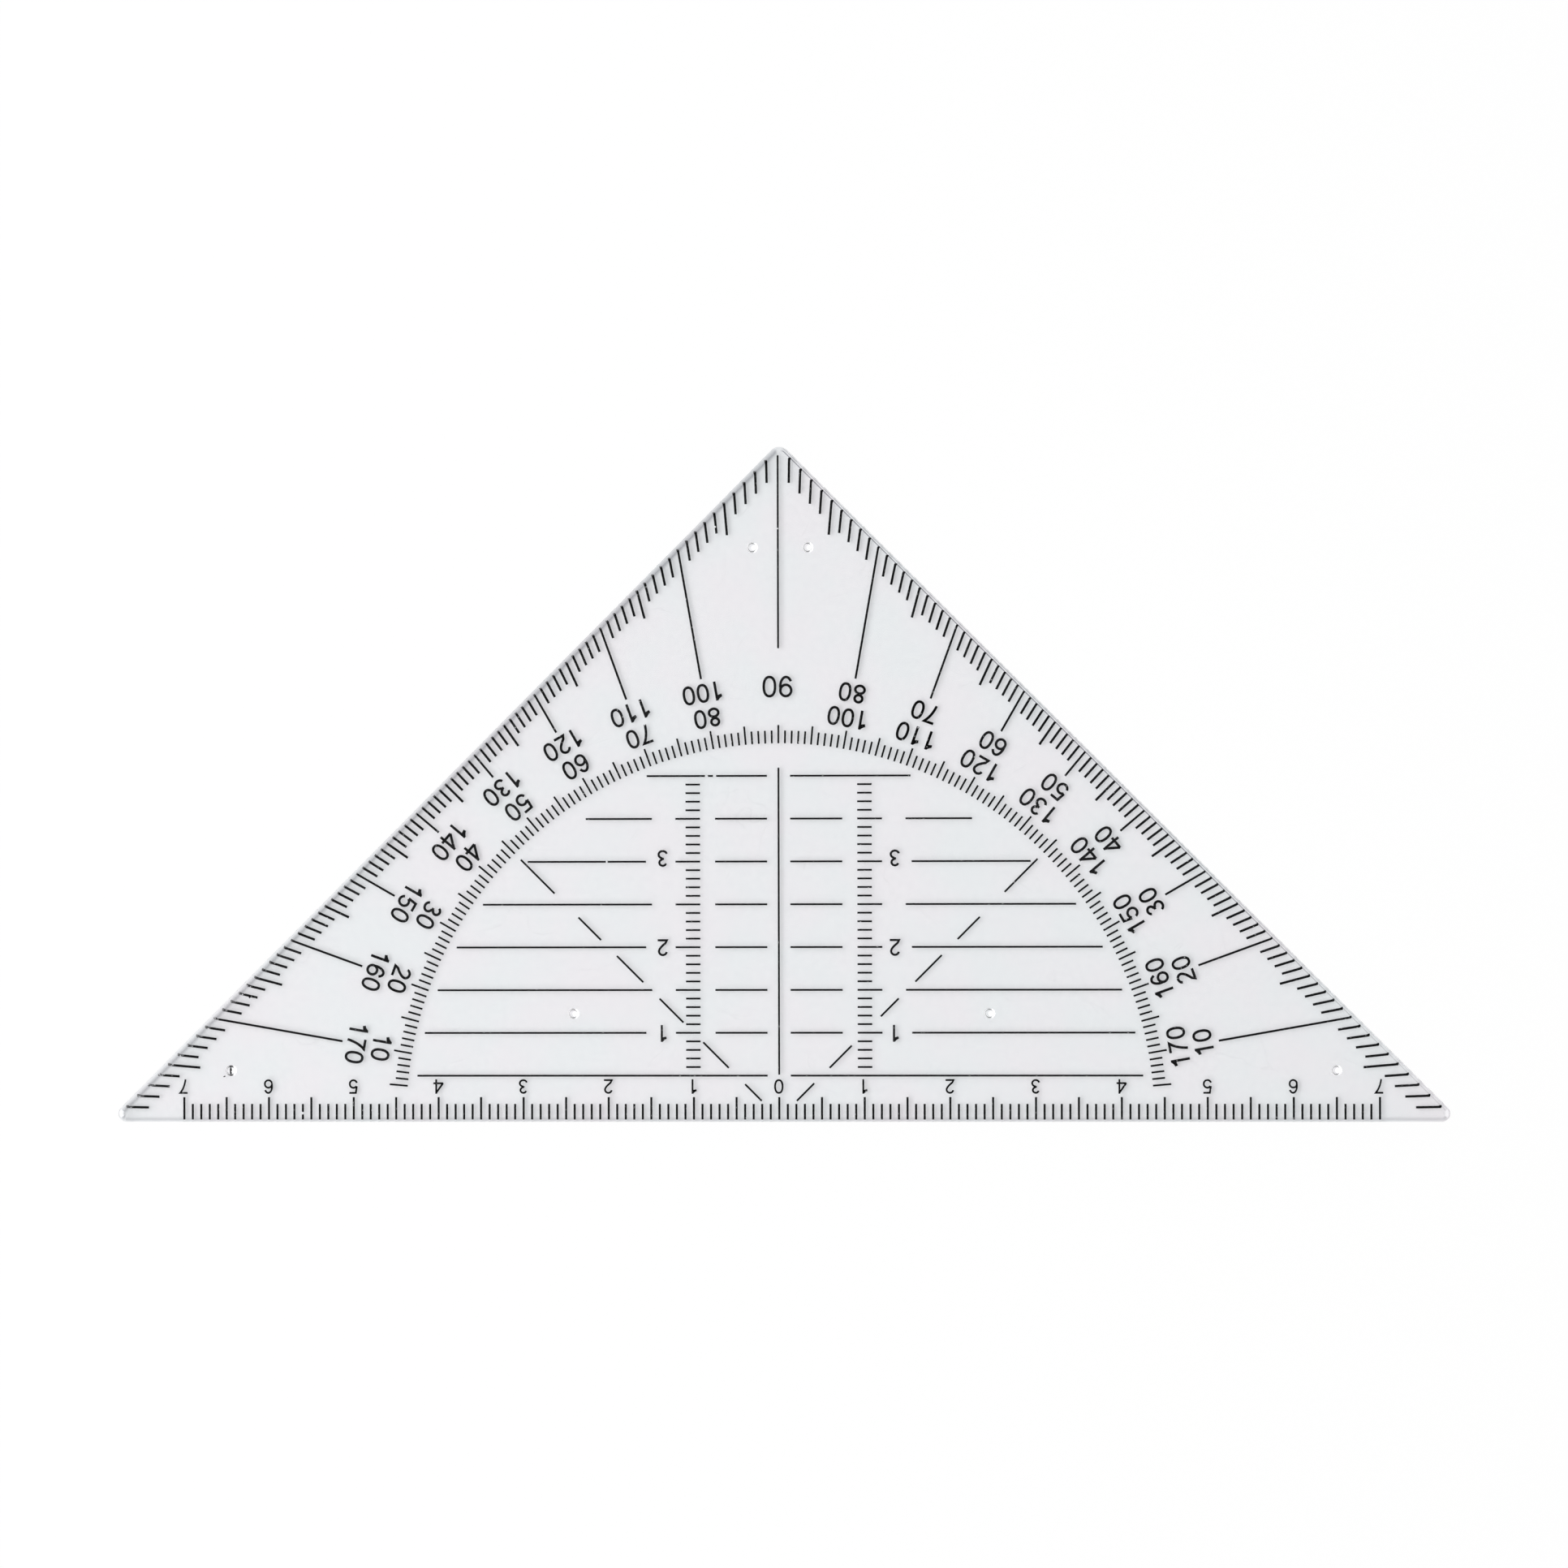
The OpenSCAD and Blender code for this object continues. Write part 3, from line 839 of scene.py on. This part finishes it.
def makePlastic(setup):
    mat = newMaterial("clearPlastic")
    tree = mat.node_tree
    place = millimetres(tree)
    edge = useGroup(tree, nearestEdge, {"Place": place})
    distance = edge.outputs["Distance"]
    facing = addNode(tree, "ShaderNodeSeparateXYZ", {0: edge.outputs["Facing"]})
    left = mapRange(tree, facing.outputs["X"], *setup["leftFaces"])
    right = mapRange(tree, facing.outputs["X"], *setup["rightFaces"])
    bottom = mapRange(tree, facing.outputs["Y"], *setup["bottomFaces"])
    tip = mapRange(tree, mathNode(tree, "ABSOLUTE", facing.outputs["X"]), *setup["tipFaces"])
    split = addNode(tree, "ShaderNodeSeparateXYZ", {0: place})
    right = mathNode(tree, "MULTIPLY", right, mapRange(tree, split.outputs["Y"], *setup["fainter"], 1.0))
    curve = mathNode(tree, "MULTIPLY", tip, mixValue(tree, left, setup["tipCurveRight"], 1.0))
    straight = mathNode(tree, "SUBTRACT", 1.0, tip)
    left = mathNode(tree, "MULTIPLY", left, straight)
    right = mathNode(tree, "MULTIPLY", right, straight)
    band = mathNode(tree, "MULTIPLY", left, mapRange(tree, split.outputs["Y"], *setup["leftGain"], 1.0))
    paintedShade = mathNode(tree, "MULTIPLY", addSoftLine(tree, distance, setup["leftShade"], left),
                     addSoftLine(tree, distance, setup["leftShadeBand"], band))
    for name, share in (("rightShadeLine", right), ("rightShadeRim", right), ("bottomShade", bottom),
                        ("tipShadeRim", tip), ("tipShadeCurve", curve)):
        paintedShade = mathNode(tree, "MULTIPLY", paintedShade, addSoftLine(tree, distance, setup[name], share))
    onTop = mathNode(tree, "GREATER_THAN", split.outputs["Z"], setup["topLevel"])
    shade = mixColour(tree, paintedShade, setup["shadeTint"], (1, 1, 1, 1))
    patch = useGroup(tree, unevenValue, {"Place": place, "Size": setup["patchSize"]}).outputs["Value"]
    clouds = mixColour(tree, patch, setup["coolTint"], setup["warmTint"])
    clear = mixColour(tree, 1.0, setup["tint"], clouds, "MULTIPLY")
    scratch = useGroup(tree, hairScratches, {"Place": place, "Size": setup["scratchSize"],
                                             "Width": setup["scratchWidth"]}).outputs["Value"]
    clear = mixColour(tree, mathNode(tree, "MULTIPLY", scratch, setup["scratchDepth"]), clear, (0, 0, 0, 1))
    # painted shade goes into the colour of the top face alone
    colour = mixColour(tree, onTop, clear, mixColour(tree, 1.0, clear, shade, "MULTIPLY"))
    # painted light in the emission: the tips' bevel and the feet
    paintedLight = mathNode(tree, "SUBTRACT", 1.0, addSoftLine(tree, distance, setup["tipPaintedLight"],
                                                       mathNode(tree, "MULTIPLY", tip, onTop)))
    paintedLight = mathNode(tree, "ADD", paintedLight, footGlow(tree, place, split.outputs["Z"], setup))
    path = tree.nodes.new("ShaderNodeLightPath")
    # painted light past deepFrom bounces inside the plate
    deep = mathNode(tree, "GREATER_THAN", path.outputs["Ray Depth"], setup["deepFrom"])
    paintedLight = mathNode(tree, "MAXIMUM", paintedLight, mathNode(tree, "MULTIPLY", deep, setup["deepPaintedLight"]))
    smudge = useGroup(tree, unevenValue, {"Place": place, "Size": setup["smudgeSize"],
                                          "Low": setup["roughness"][0], "High": setup["roughness"][1]})
    gloss = addNode(tree, "ShaderNodeBsdfPrincipled", {
        "Base Color": colour, "Roughness": smudge.outputs["Value"], "IOR": setup["ior"],
        "Transmission Weight": 1.0, "Emission Strength": 1.0,
        "Emission Color": mixColour(tree, paintedLight, (0, 0, 0, 1), (1, 1, 1, 1))})
    geometry = tree.nodes.new("ShaderNodeNewGeometry")
    normal = addNode(tree, "ShaderNodeSeparateXYZ", {0: geometry.outputs["True Normal"]})
    flat = mapRange(tree, mathNode(tree, "ABSOLUTE", normal.outputs["Z"]), *setup["flatFrom"])
    # a face that is hit from inside shows its normal the wrong way round
    inside = mathNode(tree, "MULTIPLY", geometry.outputs["Backfacing"], 2.0)
    outward = mathNode(tree, "MULTIPLY", normal.outputs["X"], mathNode(tree, "SUBTRACT", 1.0, inside))
    away = mapRange(tree, outward, *setup["wallTurn"])
    wallColour = mixColour(tree, away, setup["wallTint"], setup["farWallTint"])
    lampColour = mixColour(tree, flat, wallColour, setup["lampTint"])
    through = addNode(tree, "ShaderNodeBsdfTransparent", {"Color": lampColour})
    lamps = mathNode(tree, "MAXIMUM", path.outputs["Is Shadow Ray"], path.outputs["Is Diffuse Ray"])
    both = addNode(tree, "ShaderNodeMixShader", {0: lamps, 1: gloss.outputs[0], 2: through.outputs[0]})
    out = tree.nodes.new("ShaderNodeOutputMaterial")
    tree.links.new(both.outputs[0], out.inputs["Surface"])
    return mat


clearPlastic = makePlastic(plastic)
clearPlate.data.materials.append(clearPlastic)


# printing ink: thin and matt, with pinholes, worn through in places and ragged at the left tip
ink = {
    "colour": (0.004, 0.004, 0.005, 1),
    "thinColour": (0.012, 0.012, 0.010, 1),
    "roughness": (0.35, 0.6),
    "sheen": 0.2,
    "grainSize": 0.25,                        # mm
    "holeSize": 0.20,                         # mm
    "holeLevel": 0.72,                        # noise above this leaves a pinhole
    "holeEdge": 0.04,
    "holeRim": 0.15,                          # how far below that level the ink is already thin
    "thinSize": 7.0,                          # mm, patches where more pinholes lie
    "thinner": 0.07,
    "ragged": 0.13,                           # how far the level falls at the left tip
    "raggedCover": 0.62,                      # how well the ink covers there
    "raggedStrip": (0.75, 0.95),              # mm from the outline
    "raggedFrom": (-55.0, -66.0),             # mm along the ruling edge
    "raggedFaces": -0.5,                      # the outline faces left by at least this much
    "wornDrop": 0.42,                         # how far it falls at the worn places
    "wornEdge": 0.6,                          # share of their radius that is worn right through
    "worn": [(-56.3, 0.97, 0.20), (-0.3, 69.22, 0.11), (-7.63, 69.44, 0.15), (-8.69, 40.33, 0.22),
             (-7.73, 40.33, 0.22), (-20.41, 30.33, 0.15), (-11.08, 61.01, 0.10)],     # x, y, radius in mm
}


def makeInk(setup):
    mat = newMaterial("printingInk")
    tree = mat.node_tree
    place = millimetres(tree)
    edge = useGroup(tree, nearestEdge, {"Place": place})
    facing = addNode(tree, "ShaderNodeSeparateXYZ", {0: edge.outputs["Facing"]})
    split = addNode(tree, "ShaderNodeSeparateXYZ", {0: place})
    strip = mapRange(tree, edge.outputs["Distance"], *setup["raggedStrip"], 1.0, 0.0)
    strip = mathNode(tree, "MULTIPLY", strip,
                     mathNode(tree, "LESS_THAN", facing.outputs["X"], setup["raggedFaces"]))
    strip = mathNode(tree, "MULTIPLY", strip, mapRange(tree, split.outputs["X"], *setup["raggedFrom"]))
    drop = mathNode(tree, "MULTIPLY", strip, setup["ragged"])
    flat = vectorNode(tree, "MULTIPLY", place, (1, 1, 0))
    for x, y, radius in setup["worn"]:
        away = vectorNode(tree, "LENGTH", vectorNode(tree, "SUBTRACT", flat, (x, y, 0)))
        wear = mapRange(tree, away, radius * setup["wornEdge"], radius, setup["wornDrop"], 0.0)
        drop = mathNode(tree, "MAXIMUM", drop, wear)
    thin = useGroup(tree, unevenValue, {"Place": place, "Size": setup["thinSize"],
                                        "High": setup["thinner"]}).outputs["Value"]
    level = mathNode(tree, "SUBTRACT", setup["holeLevel"], mathNode(tree, "ADD", drop, thin))
    holes = addNode(tree, "ShaderNodeTexNoise", {"Vector": place, "Scale": 1 / setup["holeSize"],
                                                 "Detail": 2.0})
    over = mathNode(tree, "SUBTRACT", holes.outputs["Fac"], level)
    covered = mathNode(tree, "MULTIPLY", mapRange(tree, over, 0.0, setup["holeEdge"], 1.0, 0.0),
                       mixValue(tree, strip, 1.0, setup["raggedCover"]))
    rough = useGroup(tree, unevenValue, {"Place": place, "Size": setup["grainSize"],
                                         "Low": setup["roughness"][0], "High": setup["roughness"][1]})
    thinned = mapRange(tree, over, -setup["holeRim"], 0.0)
    colour = mixColour(tree, thinned, setup["colour"], setup["thinColour"])
    shader = addNode(tree, "ShaderNodeBsdfPrincipled", {
        "Base Color": colour, "Roughness": rough.outputs["Value"], "Specular IOR Level": setup["sheen"],
        "Alpha": covered})
    out = tree.nodes.new("ShaderNodeOutputMaterial")
    tree.links.new(shader.outputs[0], out.inputs["Surface"])
    return mat


printingInk = makeInk(ink)


def dress(node, mat):
    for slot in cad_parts[node].material_slots:
        slot.material = mat


for name in inkNodes:
    dress(name, printingInk)
for piece in numeralPieces + [strayPiece]:
    piece.data.materials.append(printingInk)
print("materials set")
